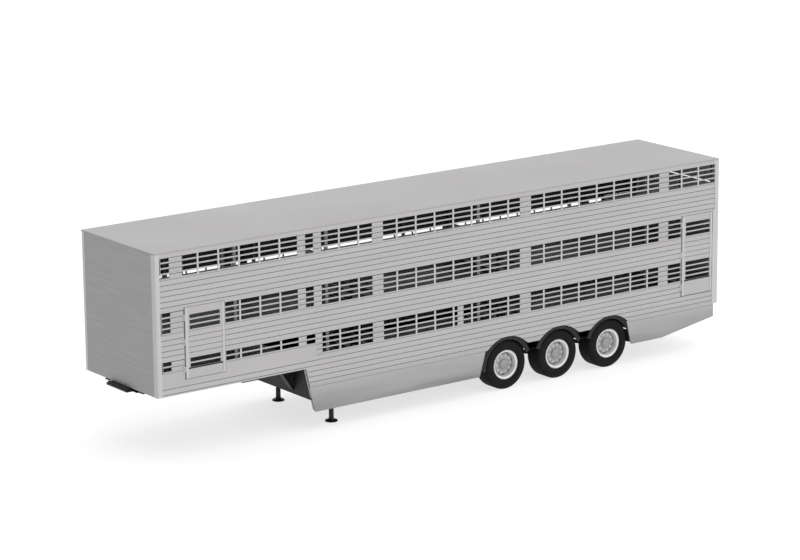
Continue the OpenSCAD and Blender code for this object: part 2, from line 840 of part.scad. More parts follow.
module top_knuckle(z, h, reach) {
    translate([body_len - knuckle_r, -top_axis_y, z]) {
        cylinder(r = knuckle_r, h = h);
        translate([-6, min(0, reach), 0]) cube([6, abs(reach), h]);
    }
}

module top_door() {
    y0 = top_axis_y - knuckle_r - 1;
    z1 = grid_top - door_gap;
    x1 = body_len - 6;
    rib_h = 50;
    color("silver") difference() {
        union() {
            block(x1 - door_leaf_t, x1, -y0, -4, top_door_z0, z1);
            for (z = [top_door_z0 + rib_h : 2 * rib_h : z1 - 2 * rib_h])
                block(x1 - 1, body_len - 1, -y0 + 40, -50, z, z + rib_h);
            for (z = top_hinge_zs) top_knuckle(z, hinge_h, 12);
        }
        for (z = top_hinge_zs)
            translate([body_len - knuckle_r, -top_axis_y, z - 1])
                cylinder(r = hinge_pin_r + run_clear, h = hinge_h + 2);
    }
}

module left_top_door() {
    top_door();
}

module right_top_door() {
    mirror([0, 1, 0]) top_door();
}

// Closed ramp with its walking battens on the inner face
module rear_ramp() {
    x1 = ramp_axis_x - ramp_knuckle_r - 3;
    x0 = x1 - ramp_t;
    z0 = ramp_axis_z + ramp_knuckle_r + 2;
    batten = 12;
    batten_n = floor((ramp_top_z - z0 - 200) / 260);
    color("silver") difference() {
        union() {
            block(x0, x1, -ramp_y, ramp_y, z0, ramp_top_z);
            for (i = [0 : batten_n])
                block(x0 - batten, x0, -ramp_y + 60, ramp_y - 60, z0 + 100 + 260 * i,
                    z0 + 130 + 260 * i);
            for (y = ramp_ys) {
                rod_y(ramp_axis_x, ramp_axis_z, ramp_knuckle_r, y, y + 60);
                block(x1 - 6, ramp_axis_x + 4, y, y + 60, ramp_axis_z + 7, z0 + 20);
                block(x1 - 6, ramp_axis_x + ramp_knuckle_r, y, y + 60, z0 + 8, z0 + 20);
            }
        }
        for (y = ramp_ys)
            rod_y(ramp_axis_x, ramp_axis_z, ramp_pin_r + run_clear, y - 1, y + 61);
    }
}

// Deck sheet on two side channels and cross ribs
module deck(z) {
    x0 = clear_x;
    x1 = plank_x1 - 20;
    rib_n = floor(body_len / 900);
    rib_gap = (x1 - x0 - 100) / rib_n;
    block(x0, x1, -deck_y, deck_y, z + deck_t - sheet_t, z + deck_t);
    both_sides() block(x0, x1, -deck_y, -deck_y + 8, z, z + deck_t - sheet_t);
    for (i = [0 : rib_n])
        block(x0 + 30 + rib_gap * i, x0 + 70 + rib_gap * i, -deck_y + 8, deck_y - 8, z + 10,
            z + deck_t - sheet_t);
}

module middle_deck() {
    color("darkgray") deck(middle_deck_z);
}

module upper_deck() {
    color("darkgray") difference() {
        deck(upper_deck_z);
        for (x = gate_xs) gate_socket(x, upper_deck_z + deck_t - sheet_t);
    }
}

// Partition gate on its pivot post, drawn closed across the trailer
module gate(x, z, h) {
    bay_n = 3;
    rail_h = 60;
    rail_n = 5;
    bay = (gate_end - 2 * gate_post_r) / bay_n;
    gap_h = (h - rail_h * (rail_n + 1)) / rail_n;
    color("gray") translate([x, -gate_y, z + gate_lift]) {
        cylinder(r = gate_post_r, h = h);
        translate([0, 0, -gate_lift - sheet_t]) cylinder(r = gate_pin_r, h = gate_lift + 40);
        translate([-gate_t / 2, 0, 0]) rotate([90, 0, 90]) linear_extrude(gate_t)
            difference() {
                translate([gate_post_r / 2, 0]) square([gate_end - gate_post_r / 2, h]);
                for (i = [0 : rail_n - 1]) for (j = [0 : bay_n - 1])
                    translate([gate_post_r + 30 + bay * j, rail_h + i * (rail_h + gap_h)])
                        square([bay - 60, gap_h]);
            }
    }
}

module front_lower_gate() {
    gate(gate_xs[0], rear_floor_z, lower_gate_h);
}

module rear_lower_gate() {
    gate(gate_xs[1], rear_floor_z, lower_gate_h);
}

module front_upper_gate() {
    gate(gate_xs[0], upper_deck_z + deck_t, upper_gate_h);
}

module rear_upper_gate() {
    gate(gate_xs[1], upper_deck_z + deck_t, upper_gate_h);
}

// Lifting columns in the wall, which guide and raise the decks
module lift_columns() {
    color("dimgray") both_sides() for (x = [1750, 3800, body_len - 6200, body_len - 1900])
        block(x - 35, x + 35, -inner_y, -inner_y + post_in,
            (x < step_x ? neck_floor_z : rear_floor_z), grid_top);
}

module air_tanks() {
    r = 125;
    length = 760;
    z = rail_top - r - 60;
    tank_y = (rail_y - rail_w / 2) / 2;
    color("black") for (y = [-tank_y, tank_y]) {
        translate([5300, y, z]) rotate([0, 90, 0]) cylinder(r = r, h = length);
        for (x = [5400, 5860])
            block(x, x + 50, y - 60, y + 60, z + r * 0.8, rail_top);
    }
}

module lamp_beam() {
    beam_t = 60;
    beam_low = 730;
    beam_top = 850;
    color("black") {
        block(plank_x1 - beam_t, plank_x1, -half_w + 150, half_w - 150, beam_low, beam_top);
        for (y = [-rail_y, rail_y])
            block(plank_x1 - beam_t, plank_x1, y - 20, y + 20, beam_top, beam_top + 50);
    }
}

module tail_lamps() {
    color("firebrick") both_sides()
        block(plank_x1, plank_x1 + 30, -half_w + 170, -half_w + 560, 740, 840);
}

placed() chassis_rails();
placed() cross_members();
placed() coupling_plate();
placed() king_pin();
placed() lower_floor();
placed() neck_bulkhead();
placed() front_wall();
placed() front_posts();
placed() left_planks();
placed() right_planks();
placed() side_posts();
placed() top_grilles();
placed() middle_grilles();
placed() bottom_grilles();
placed() roof_panel();
placed() roof_rails();
placed() rear_frame();
placed() side_skirts();
placed() mudguards();
placed() leg_housings();
placed() hanger_brackets();
placed() lamp_beam();
placed() tail_lamps();
placed() lift_columns();
placed() air_tanks();
placed() air_springs();
placed() hinge_brackets();
placed() left_leg();
placed() right_leg();
placed() left_foot();
placed() right_foot();
placed() leg_crank();
placed() front_axle();
placed() middle_axle();
placed() rear_axle();
placed() tyre(axles[0], -1);  // left_front_tyre
placed() tyre(axles[1], -1);  // left_middle_tyre
placed() tyre(axles[2], -1);  // left_rear_tyre
placed() tyre(axles[0], 1);  // right_front_tyre
placed() tyre(axles[1], 1);  // right_middle_tyre
placed() tyre(axles[2], 1);  // right_rear_tyre
placed() rim(axles[0], -1);  // left_front_rim
placed() rim(axles[1], -1);  // left_middle_rim
placed() rim(axles[2], -1);  // left_rear_rim
placed() rim(axles[0], 1);  // right_front_rim
placed() rim(axles[1], 1);  // right_middle_rim
placed() rim(axles[2], 1);  // right_rear_rim
placed() left_front_door();
placed() left_rear_door();
placed() right_front_door();
placed() right_rear_door();
placed() rear_ramp();
placed() left_top_door();
placed() right_top_door();
placed() middle_deck();
placed() upper_deck();
placed() front_lower_gate();
placed() rear_lower_gate();
placed() front_upper_gate();
placed() rear_upper_gate();
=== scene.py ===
import json
import math

import bmesh
import bpy
from mathutils import Matrix, Vector


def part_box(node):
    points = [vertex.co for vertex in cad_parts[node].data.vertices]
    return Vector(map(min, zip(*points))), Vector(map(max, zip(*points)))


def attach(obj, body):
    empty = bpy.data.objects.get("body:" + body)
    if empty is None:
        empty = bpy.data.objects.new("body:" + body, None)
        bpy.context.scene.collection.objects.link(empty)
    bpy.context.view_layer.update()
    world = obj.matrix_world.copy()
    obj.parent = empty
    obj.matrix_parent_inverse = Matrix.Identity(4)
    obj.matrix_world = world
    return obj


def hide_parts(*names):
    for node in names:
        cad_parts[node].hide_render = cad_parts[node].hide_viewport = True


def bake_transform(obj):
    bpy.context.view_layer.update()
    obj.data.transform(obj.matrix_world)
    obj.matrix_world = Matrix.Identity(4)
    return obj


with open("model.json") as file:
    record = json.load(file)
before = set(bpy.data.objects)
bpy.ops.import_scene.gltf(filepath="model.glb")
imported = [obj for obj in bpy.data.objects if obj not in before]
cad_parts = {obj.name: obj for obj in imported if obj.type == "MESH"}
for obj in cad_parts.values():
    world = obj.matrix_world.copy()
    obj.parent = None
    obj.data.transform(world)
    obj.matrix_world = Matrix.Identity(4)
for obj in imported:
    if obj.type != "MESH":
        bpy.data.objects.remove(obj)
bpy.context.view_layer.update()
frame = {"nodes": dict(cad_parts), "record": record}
nodes = frame["nodes"]
nodeSlots = {s["node"]: s["material_slot"] for s in frame["record"]["subparts"]}
nodeBodies = {n: b for b, names in frame["record"]["behaviour"]["bodies"].items() for n in names}

# places taken from the frame
roofLow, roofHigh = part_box("roof_panel")
plankLow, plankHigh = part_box("left_planks")
grilleLow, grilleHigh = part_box("top_grilles")
frontX, rearX, halfWidth = roofLow.x, roofHigh.x, roofHigh.y
outerY, innerY = -plankLow.y, -plankHigh.y
# the side is a grid of rows, numbered down from the roof, and these rows end each band
rows = {"topLow": 4, "middleTop": 10, "middleLow": 14, "bottomTop": 19, "neckLow": 21, "bottomLow": 23,
        "sheetLow": 24, "skirtTop": 29}
gridTop, pitch = grilleHigh.z, (grilleHigh.z - grilleLow.z) / rows["topLow"]
plankFront, plankRear = plankLow.x, plankHigh.x
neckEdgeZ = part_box("front_posts")[0].z
print("frame loaded:", len(nodes), "nodes, body", round(rearX - frontX, 3), "m long")


def rowZ(k):
    return gridTop - pitch * k


def alongX(distance):
    return frontX + distance


# shapes

def addBox(bm, low, high, bevel=0.0, segments=2):
    verts = bmesh.ops.create_cube(bm, size=1)["verts"]
    bmesh.ops.scale(bm, vec=[h - l for l, h in zip(low, high)], verts=verts)
    bmesh.ops.translate(bm, vec=[(h + l) / 2 for l, h in zip(low, high)], verts=verts)
    if bevel:
        edges = list({e for v in verts for e in v.link_edges})
        bmesh.ops.bevel(bm, geom=edges, offset=bevel, offset_type="OFFSET", affect="EDGES",
                        segments=segments, profile=0.5, material=-1, clamp_overlap=True)


def addTube(bm, start, end, radius, segments=24, endRadius=None):
    start, end = Vector(start), Vector(end)
    turn = (end - start).to_track_quat("Z", "Y").to_matrix().to_4x4()
    place = Matrix.Translation((start + end) / 2) @ turn
    bmesh.ops.create_cone(bm, cap_ends=True, segments=segments, radius1=radius,
                          radius2=radius if endRadius is None else endRadius,
                          depth=(end - start).length, matrix=place)


def addSpin(bm, profile, centre, axis="Y", segments=64):
    # profile is (radius, distance along the axis), closed
    cx, cy, cz = centre
    if axis == "Y":
        points, spinAxis = [(cx + r, cy + d, cz) for r, d in profile], (0, 1, 0)
    else:
        points, spinAxis = [(cx + r, cy, cz + d) for r, d in profile], (0, 0, 1)
    verts = [bm.verts.new(p) for p in points]
    edges = [bm.edges.new((verts[i - 1], verts[i])) for i in range(len(verts))]
    bmesh.ops.spin(bm, geom=verts + edges, cent=centre, axis=spinAxis, angle=math.tau,
                   steps=segments, use_merge=True, use_duplicate=False)


def addPlate(bm, outline, y0, y1, rounded=None):
    # outline is a list of (x, z); rounded gives corner numbers and their radius
    verts = [bm.verts.new((x, y0, z)) for x, z in outline]
    face = bm.faces.new(verts)
    for radius, picks in (rounded or {}).items():
        picked = [verts[i] for i in picks]
        turned = bmesh.ops.bevel(bm, geom=picked, offset=radius, offset_type="OFFSET", affect="VERTICES",
                                 segments=8, profile=0.5, material=-1)
        face = turned["verts"][0].link_faces[0]
    made = bmesh.ops.extrude_face_region(bm, geom=[face])["geom"]
    moved = [g for g in made if isinstance(g, bmesh.types.BMVert)]
    bmesh.ops.translate(bm, vec=(0, y1 - y0, 0), verts=moved)


def mirrorAcross(bm, verts=None):
    bmesh.ops.scale(bm, vec=(1, -1, 1), verts=verts or bm.verts)


def copyAcross(bm):
    both = bmesh.ops.duplicate(bm, geom=bm.verts[:] + bm.edges[:] + bm.faces[:])["geom"]
    mirrorAcross(bm, [g for g in both if isinstance(g, bmesh.types.BMVert)])


def turnOver(obj):
    # mirrors a finished mesh to the other side
    bm = bmesh.new()
    bm.from_mesh(obj.data)
    mirrorAcross(bm)
    bmesh.ops.recalc_face_normals(bm, faces=bm.faces)
    bm.to_mesh(obj.data)
    bm.free()


def makeObject(name, bm):
    bmesh.ops.recalc_face_normals(bm, faces=bm.faces)
    mesh = bpy.data.meshes.new(name)
    bm.to_mesh(mesh)
    bm.free()
    obj = bpy.data.objects.new(name, mesh)
    bpy.context.collection.objects.link(obj)
    return obj


def carve(obj, bm):
    cutter = makeObject("cutter", bm)
    mod = obj.modifiers.new("carve", "BOOLEAN")
    mod.operation, mod.object, mod.solver = "DIFFERENCE", cutter, "MANIFOLD"
    mesh = bpy.data.meshes.new_from_object(obj.evaluated_get(bpy.context.evaluated_depsgraph_get()))
    obj.modifiers.clear()
    old, obj.data = obj.data, mesh
    bpy.data.meshes.remove(old)
    bpy.data.objects.remove(cutter)


def softenEdges(obj, width, segments=2, limit=35):
    mod = obj.modifiers.new("softEdges", "BEVEL")
    mod.width, mod.segments, mod.limit_method = width, segments, "ANGLE"
    mod.angle_limit = math.radians(limit)
    mod.harden_normals = False


def smoothFaces(obj, limit=35):
    obj.data.polygons.foreach_set("use_smooth", [True] * len(obj.data.polygons))
    obj.data.set_sharp_from_angle(angle=math.radians(limit))


def finishPiece(obj, node, material):
    # a piece rides like the node that it stands for and takes the given material; the node is hidden
    obj.data.materials.clear()
    obj.data.materials.append(material)
    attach(obj, nodeBodies[node])
    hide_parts(node)


# materials

# this table also holds the dark colour of the painted shade low on the sides and the height where it is full
shading = {
    "noiseLow": 0.3, "noiseHigh": 0.7, "rampLow": 0.32, "rampHigh": 0.68, "roughLess": 0.06,
    "roughMore": 0.08, "paintedShadeColour": (0.20, 0.197, 0.198, 1), "paintedShadeFullZ": 0.2, "rippleStretch": (1, 0.35, 3.2),
    "rippleStrength": 0.5, "rippleDepth": 0.012,
}


def link(tree, source, target):
    tree.links.new(source, target)


def makeNoise(tree, scale, stretch=(1, 1, 1), detail=4):
    coords = tree.nodes.new("ShaderNodeTexCoord")
    mapping = tree.nodes.new("ShaderNodeMapping")
    mapping.inputs["Scale"].default_value = stretch
    noise = tree.nodes.new("ShaderNodeTexNoise")
    noise.inputs["Scale"].default_value = scale
    noise.inputs["Detail"].default_value = detail
    link(tree, coords.outputs["Object"], mapping.inputs["Vector"])
    link(tree, mapping.outputs["Vector"], noise.inputs["Vector"])
    return noise


def makeRange(tree, source, low, high):
    spread = tree.nodes.new("ShaderNodeMapRange")
    spread.inputs["From Min"].default_value = shading["noiseLow"]
    spread.inputs["From Max"].default_value = shading["noiseHigh"]
    spread.inputs["To Min"].default_value = low
    spread.inputs["To Max"].default_value = high
    link(tree, source, spread.inputs["Value"])
    return spread.outputs["Result"]


def makeMaterial(name, look):
    mat = bpy.data.materials.new(name)
    mat.use_nodes = True
    tree = mat.node_tree
    shader = tree.nodes["Principled BSDF"]
    shader.inputs["Metallic"].default_value = look.get("metallic", 0)
    shader.inputs["Specular IOR Level"].default_value = look.get("specular", 0.5)
    shader.inputs["Coat Weight"].default_value = look.get("coat", 0)
    tint = makeNoise(tree, look["patch"], look.get("stretch", (1, 1, 1)))
    grain = makeNoise(tree, look["grain"], look.get("grainStretch", (1, 1, 1)), 2)
    ramp = tree.nodes.new("ShaderNodeValToRGB")
    base, spread = look["colour"], look["spread"]
    darker, lighter = ramp.color_ramp.elements
    darker.position, lighter.position = shading["rampLow"], shading["rampHigh"]
    darker.color = [c * (1 - spread) for c in base] + [1]
    lighter.color = [min(1, c * (1 + spread)) for c in base] + [1]
    link(tree, tint.outputs["Fac"], ramp.inputs["Fac"])
    colour = ramp.outputs["Color"]
    if "paintedShade" in look:
        # painted shade: the colour is darkened towards the ground, standing in for the shade low on the sides
        coords = tree.nodes.new("ShaderNodeTexCoord")
        split = tree.nodes.new("ShaderNodeSeparateXYZ")
        height = tree.nodes.new("ShaderNodeMapRange")
        height.inputs["From Min"].default_value = look["paintedShadeTop"]
        height.inputs["From Max"].default_value = shading["paintedShadeFullZ"]
        height.inputs["To Max"].default_value = look["paintedShade"]
        amount = tree.nodes.new("ShaderNodeMath")
        amount.operation = "MULTIPLY"
        mix = tree.nodes.new("ShaderNodeMix")
        mix.data_type = "RGBA"
        mix.inputs["B"].default_value = shading["paintedShadeColour"]
        link(tree, coords.outputs["Object"], split.inputs["Vector"])
        link(tree, split.outputs["Z"], height.inputs["Value"])
        link(tree, height.outputs["Result"], amount.inputs[0])
        link(tree, tint.outputs["Fac"], amount.inputs[1])
        link(tree, amount.outputs["Value"], mix.inputs["Factor"])
        link(tree, colour, mix.inputs["A"])
        colour = mix.outputs["Result"]
    link(tree, colour, shader.inputs["Base Color"])
    smoother, rougher = look["rough"] - shading["roughLess"], look["rough"] + shading["roughMore"]
    link(tree, makeRange(tree, tint.outputs["Fac"], smoother, rougher), shader.inputs["Roughness"])
    bump = tree.nodes.new("ShaderNodeBump")
    bump.inputs["Strength"].default_value = look["bump"]
    bump.inputs["Distance"].default_value = look["depth"]
    link(tree, grain.outputs["Fac"], bump.inputs["Height"])
    if "ripple" in look:
        wave = makeNoise(tree, look["ripple"], shading["rippleStretch"], 1)
        swell = tree.nodes.new("ShaderNodeBump")
        swell.inputs["Strength"].default_value = shading["rippleStrength"]
        swell.inputs["Distance"].default_value = shading["rippleDepth"]
        link(tree, wave.outputs["Fac"], swell.inputs["Height"])
        link(tree, swell.outputs["Normal"], bump.inputs["Normal"])
    link(tree, bump.outputs["Normal"], shader.inputs["Normal"])
    return mat


finishes = {
    # side_aluminium: its colour is darkened towards the ground as painted shade
    "side_aluminium": {"colour": (0.455, 0.443, 0.446), "spread": 0.04, "metallic": 0.25, "rough": 0.46,
                       "patch": 1.6, "stretch": (0.25, 1, 2.5), "grain": 160, "grainStretch": (0.1, 1, 1),
                       "bump": 0.12, "depth": 0.001, "paintedShade": 1.8, "paintedShadeTop": 1.05},
    "grille_aluminium": {"colour": (0.44, 0.428, 0.431), "spread": 0.04, "metallic": 0.3, "rough": 0.42,
                         "patch": 3, "grain": 180, "grainStretch": (0.1, 1, 1), "bump": 0.1, "depth": 0.001},
    "frame_aluminium": {"colour": (0.05, 0.05, 0.049), "spread": 0.15, "metallic": 0.3, "rough": 0.5,
                        "patch": 3, "grain": 140, "bump": 0.12, "depth": 0.001},
    "trim_aluminium": {"colour": (0.52, 0.51, 0.51), "spread": 0.03, "metallic": 0.25, "rough": 0.4,
                       "patch": 2, "stretch": (1, 1, 0.3), "grain": 180, "grainStretch": (1, 1, 0.1),
                       "bump": 0.1, "depth": 0.001},
    "roof_sheet": {"colour": (0.385, 0.372, 0.375), "spread": 0.03, "metallic": 0.15, "rough": 0.5,
                   "patch": 0.7, "grain": 90, "bump": 0.08, "depth": 0.001},
    # front_panel is set darker than the sides, partly the panel's own tone and partly painted shade for the
    # front wall that faces away from the light
    "front_panel": {"colour": (0.352, 0.344, 0.347), "spread": 0.09, "metallic": 0.15, "rough": 0.5,
                    "patch": 2.2, "stretch": (1, 0.4, 9), "grain": 120, "bump": 0.12, "depth": 0.001,
                    "ripple": 2.6},
    "floor_aluminium": {"colour": (0.10, 0.10, 0.095), "spread": 0.15, "metallic": 0.4, "rough": 0.55,
                        "patch": 2, "grain": 60, "bump": 0.3, "depth": 0.002},
    "chassis_black": {"colour": (0.010, 0.0105, 0.0115), "spread": 0.2, "rough": 0.5, "specular": 0.3,
                      "patch": 4, "grain": 120, "bump": 0.1, "depth": 0.001},
    "black_plastic": {"colour": (0.008, 0.008, 0.008), "spread": 0.15, "rough": 0.65, "specular": 0.25,
                      "patch": 5, "grain": 400, "bump": 0.25, "depth": 0.001},
    "tyre_rubber": {"colour": (0.0065, 0.0065, 0.0065), "spread": 0.2, "rough": 0.8, "specular": 0.2,
                    "patch": 6, "grain": 350, "bump": 0.2, "depth": 0.001},
    "wheel_silver": {"colour": (0.76, 0.76, 0.76), "spread": 0.04, "metallic": 0.3, "rough": 0.34,
                     "patch": 6, "grain": 250, "bump": 0.06, "depth": 0.001},
    "galvanised_steel": {"colour": (0.16, 0.165, 0.17), "spread": 0.25, "metallic": 0.6, "rough": 0.45,
                         "patch": 14, "grain": 90, "bump": 0.12, "depth": 0.001},
    "pin_steel": {"colour": (0.42, 0.42, 0.42), "spread": 0.08, "metallic": 0.9, "rough": 0.33,
                  "patch": 10, "grain": 300, "bump": 0.06, "depth": 0.001},
    "lamp_red": {"colour": (0.42, 0.012, 0.012), "spread": 0.1, "rough": 0.15, "coat": 0.6,
                 "patch": 12, "grain": 70, "bump": 0.3, "depth": 0.002},
    "bellows_rubber": {"colour": (0.016, 0.016, 0.016), "spread": 0.2, "rough": 0.62,
                       "patch": 8, "grain": 300, "bump": 0.2, "depth": 0.001},
}
mats = {slot: makeMaterial(slot, look) for slot, look in finishes.items()}
extraFinishes = {
    # lining is a dark sheet, painted shade that shows through the gaps between planks and behind the grilles
    "shadeLining": {"colour": (0.07, 0.067, 0.06), "spread": 0.2, "rough": 0.75, "patch": 2, "grain": 80,
               "bump": 0.2, "depth": 0.001},
    # shadedWheelDisc and shadedHubCap are darker copies of the rim silver, painted shade that keeps the disc
    # and hub below the bright flange
    "shadedWheelDisc": {"colour": (0.34, 0.34, 0.34), "spread": 0.06, "metallic": 0.3, "rough": 0.42,
                  "patch": 8, "grain": 220, "bump": 0.08, "depth": 0.001},
    "shadedHubCap": {"colour": (0.30, 0.30, 0.31), "spread": 0.05, "metallic": 0.35, "rough": 0.36,
               "patch": 8, "grain": 220, "bump": 0.06, "depth": 0.001},
}
mats.update({name: makeMaterial(name, look) for name, look in extraFinishes.items()})
for node, obj in nodes.items():
    obj.data.materials.clear()
    obj.data.materials.append(mats[nodeSlots[node]])
print("materials made:", len(mats))


# side walls: single planks on a dark inner sheet, painted shade that shows through the gaps between planks

side = {
    "groove": 0.009, "liningThick": 0.004, "plankBevel": 0.0022, "archRise": 0.2165, "archTop": 0.23,
    "archFoot": 0.515, "archRound": 0.19, "archSpread": 0.03, "archDrop": 0.04, "archEase": 0.004,
    "neckStep": 3.52, "neckSlope": 3.265, "slopeRun": 0.089, "edgeDepth": 0.055, "edgeThick": 0.014,
    "skirtFootX": 0.196, "skirtFootZ": 0.415, "cutPast": 0.05, "cutBeyond": 0.1, "doorMargin": 0.008,
    "liningGap": 0.0003, "edgeSet": 0.0005,
}
axleNames = ("front", "middle", "rear")
axleX = [sum(corner.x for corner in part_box(f"left_{k}_tyre")) / 2 for k in axleNames]
skirtZ = rowZ(rows["skirtTop"])
doors = {k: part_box(f"left_{k}_door") for k in ("front", "rear")}
doorRooms = {"front": (alongX(0.606), alongX(1.494)), "rear": (alongX(12.606), alongX(13.448))}


def planksOfSide():
    # (front, rear, bottom, top) of each plank
    stepX = alongX(side["neckStep"])
    single = [k for a, b in (("topLow", "middleTop"), ("middleLow", "bottomTop"), ("sheetLow", "skirtTop"))
              for k in range(rows[a], rows[b])]
    spans = [(plankFront, plankRear, rowZ(k + 1), rowZ(k)) for k in single]
    spans.append((plankFront, stepX, rowZ(rows["sheetLow"]), rowZ(rows["neckLow"])))
    spans.append((stepX, plankRear, rowZ(rows["sheetLow"]), rowZ(rows["bottomLow"])))
    return spans


def archCutter(bm, x, y0, y1):
    foot, top, wide = side["archFoot"], side["archTop"], side["archFoot"] + side["archSpread"]
    topZ, easeZ, lowZ = skirtZ + side["archRise"], skirtZ + side["archEase"], skirtZ - side["archDrop"]
    addPlate(bm, [(x - wide, lowZ), (x - foot, easeZ), (x - top, topZ), (x + top, topZ), (x + foot, easeZ),
                  (x + wide, lowZ)], y0, y1, {side["archRound"]: (2, 3)})


def wallCutter():
    bm = bmesh.new()
    y0, y1, margin = -outerY - side["cutPast"], -innerY + side["cutPast"], side["doorMargin"]
    for k, (low, high) in doors.items():
        x0, x1 = doorRooms[k]
        addBox(bm, (x0, y0, low.z - margin), (x1, y1, high.z + margin))
    for x in axleX:
        archCutter(bm, x, y0, y1)
    slope, run, ahead = alongX(side["neckSlope"]), side["slopeRun"], frontX - side["cutBeyond"]
    below = skirtZ - side["cutBeyond"]
    addPlate(bm, [(ahead, neckEdgeZ), (slope, neckEdgeZ), (slope + run, skirtZ), (slope + run, below),
                  (ahead, below)], y0, y1)
    return bm


def makeSideWall(name, mirrored):
    bm = bmesh.new()
    half = side["groove"] / 2
    for x0, x1, z0, z1 in planksOfSide():
        addBox(bm, (x0, -outerY, z0 + half), (x1, -innerY - side["liningThick"], z1 - half),
               side["plankBevel"], 2)
    wall = makeObject(name + "_skin", bm)
    carve(wall, wallCutter())
    slope, thick, deep = alongX(side["neckSlope"]), side["edgeThick"], -outerY + side["edgeDepth"]
    turn, footX, footZ = slope + side["slopeRun"], slope + side["skirtFootX"], side["skirtFootZ"]
    bm = bmesh.new()
    addPlate(bm, [(slope, neckEdgeZ), (slope + thick, neckEdgeZ), (turn + thick, skirtZ), (turn, skirtZ)],
             -outerY, deep)
    addPlate(bm, [(turn, skirtZ), (turn + thick, skirtZ), (footX + thick, footZ), (footX, footZ)],
             -outerY + side["edgeSet"], deep)
    trim = makeObject(name + "_edge", bm)
    # the dark sheet behind the planks, painted shade for the gaps between them
    bm = bmesh.new()
    stepX, face = alongX(side["neckStep"]), -innerY - side["liningThick"] + side["liningGap"]
    for x0, x1, low, top in ((plankFront, plankRear, "middleTop", "topLow"),
                             (plankFront, plankRear, "bottomTop", "middleLow"),
                             (plankFront, stepX, "sheetLow", "neckLow"),
                             (stepX, plankRear, "sheetLow", "bottomLow"),
                             (plankFront, plankRear, "skirtTop", "sheetLow")):
        addBox(bm, (x0, face, rowZ(rows[low])), (x1, -innerY, rowZ(rows[top])))
    shadeLining = makeObject(name + "_shadeLining", bm)
    carve(shadeLining, wallCutter())
    for obj, material in ((wall, "side_aluminium"), (trim, "side_aluminium"), (shadeLining, "shadeLining")):
        if mirrored:
            turnOver(obj)
        finishPiece(obj, name, mats[material])


for name, mirrored in (("left_planks", False), ("right_planks", True)):
    makeSideWall(name, mirrored)
print("side walls made")


# grilles: long slats, upright bars and closed bays, each made by a function called in the same way

grille = {
    "firstBar": 0.934, "barPitch": 0.4485, "barWidth": 0.038, "barInside": 0.003, "firstClear": 0.04,
    "slatHeight": 0.030, "slatLift": 0.0005, "depth": 0.014, "lip": 0.024, "proud": 0.004, "bevel": 0.003,
    "end": 0.012, "endSet": 0.001, "endBevel": 0.002, "infill": 0.012, "recess": 0.005, "line": 0.010,
    "shadeBacking": 0.003, "bayLap": 0.001, "bayMargin": 0.02, "baySlack": 0.04, "lowBay": (6.870, 7.010),
    "bays": [(0.325, 0.600), (3.130, 3.310), (3.490, 3.670), (4.844, 5.100), (8.411, 8.685),
             (12.000, 12.256)],
}


def addGrilleRun(bm, x0, x1, k0, k1, bays):
    y, deep = -outerY, -outerY + grille["depth"]
    for k in range(k0, k1):
        z = rowZ(k + 1)
        addBox(bm, (x0, y, z + grille["slatLift"]), (x1, deep, z + grille["slatHeight"]), grille["bevel"])
    for x in (x0, x1 - grille["end"]):
        addBox(bm, (x, y + grille["endSet"], rowZ(k1)), (x + grille["end"], deep, rowZ(k0)),
               grille["endBevel"], 1)


def addGrilleBars(bm, x0, x1, k0, k1, bays):
    front, deep = -outerY - grille["proud"], -outerY + grille["depth"] - grille["barInside"]
    at, width, margin = grille["firstBar"], grille["barWidth"], grille["bayMargin"]
    while alongX(at) + width <= x1:
        inBay = any(b0 - margin < at < b1 + margin for b0, b1 in bays)
        if alongX(at) > x0 + grille["firstClear"] and not inBay:
            addBox(bm, (alongX(at) - width / 2, front, rowZ(k1)), (alongX(at) + width / 2, deep, rowZ(k0)),
                   grille["bevel"])
        at += grille["barPitch"]


def baysWithin(x0, x1, bays):
    slack = grille["baySlack"]
    return [(max(alongX(b0), x0), min(alongX(b1), x1)) for b0, b1 in bays
            if alongX(b0) > x0 - slack and alongX(b1) < x1 + slack]


def addGrilleBays(bm, x0, x1, k0, k1, bays):
    face = -outerY + grille["recess"]
    for left, right in baysWithin(x0, x1, bays):
        for k in range(k0, k1):
            addBox(bm, (left, face, rowZ(k + 1) + grille["slatHeight"] - grille["bayLap"]),
                   (right, face + grille["infill"], rowZ(k) - grille["line"]), grille["bevel"])


def addGrilleShadeSheets(bm, x0, x1, k0, k1, bays):
    # dark sheets as painted shade: one behind the closed bays, and a lip behind the top row's lowest slat
    back = -outerY + grille["recess"] + grille["infill"]
    deep = back + grille["shadeBacking"]
    for left, right in baysWithin(x0, x1, bays):
        addBox(bm, (left, back, rowZ(k1)), (right, deep, rowZ(k0)))
    if k0 == 0:
        slatTop, lip = rowZ(k1) + grille["slatHeight"], grille["lip"]
        addBox(bm, (x0, back, slatTop - lip), (x1, deep, slatTop + lip))


def makeGrilles(node, runs):
    parts = (("slats", addGrilleRun, "grille_aluminium"), ("bars", addGrilleBars, "trim_aluminium"),
             ("bays", addGrilleBays, "side_aluminium"), ("shadeBacking", addGrilleShadeSheets, "shadeLining"))
    for part, add, material in parts:
        bm = bmesh.new()
        for run in runs:
            add(bm, *run)
        copyAcross(bm)
        finishPiece(makeObject(f"{node}_{part}", bm), node, mats[material])


